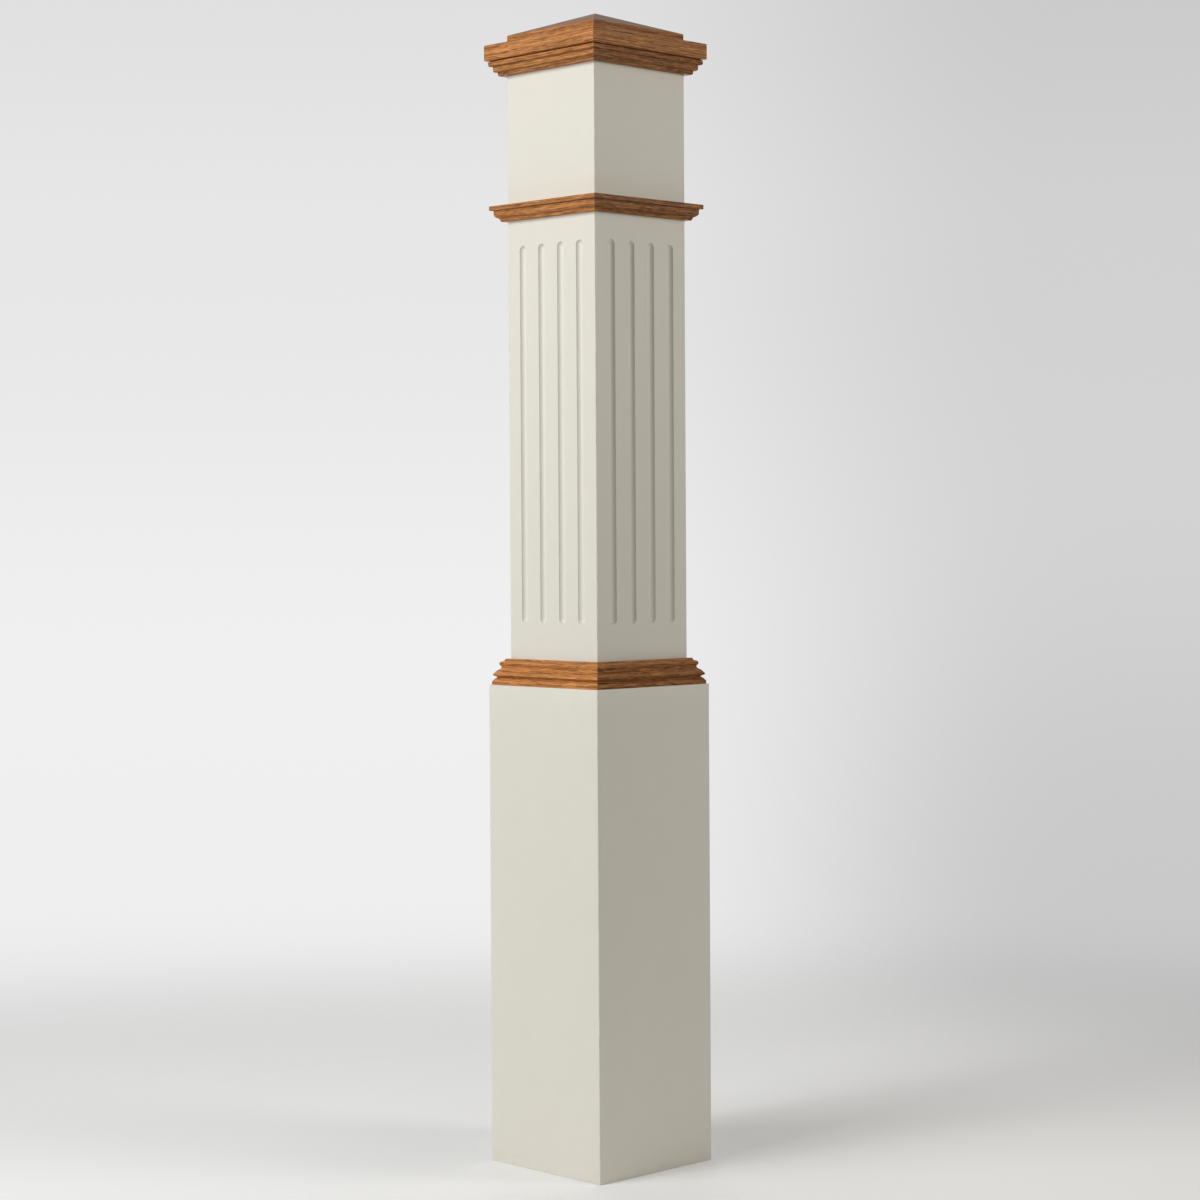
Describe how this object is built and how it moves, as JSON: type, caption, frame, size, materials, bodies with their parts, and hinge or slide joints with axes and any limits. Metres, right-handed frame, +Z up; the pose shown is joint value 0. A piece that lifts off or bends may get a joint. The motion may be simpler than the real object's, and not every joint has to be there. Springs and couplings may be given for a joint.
{
  "type": "newel post",
  "caption": "Square box newel post with a fluted painted shaft, a plain lower box, stained oak mouldings and a low pyramid cap, for ending or turning a stair handrail.",
  "frame": {"origin": "centre of the square foot, on the floor", "axes": "+Z up along the post, -Y out of the front face, +X out of the right face"},
  "size_m": [0.192, 0.192, 1.4],
  "materials": {
    "ivory_paint": "satin ivory paint on wood",
    "stained_oak": "stained oak under satin lacquer"
  },
  "bodies": {
    "root": {"lower_board_front": "ivory_paint", "lower_board_right": "ivory_paint", "lower_board_back": "ivory_paint", "lower_board_left": "ivory_paint", "shaft_board_front": "ivory_paint", "shaft_board_right": "ivory_paint", "shaft_board_back": "ivory_paint", "shaft_board_left": "ivory_paint", "base_moulding_front": "stained_oak", "base_moulding_right": "stained_oak", "base_moulding_back": "stained_oak", "base_moulding_left": "stained_oak", "collar_front": "stained_oak", "collar_right": "stained_oak", "collar_back": "stained_oak", "collar_left": "stained_oak", "cap_moulding_front": "stained_oak", "cap_moulding_right": "stained_oak", "cap_moulding_back": "stained_oak", "cap_moulding_left": "stained_oak", "cap": "stained_oak"}
  },
  "joints": []
}
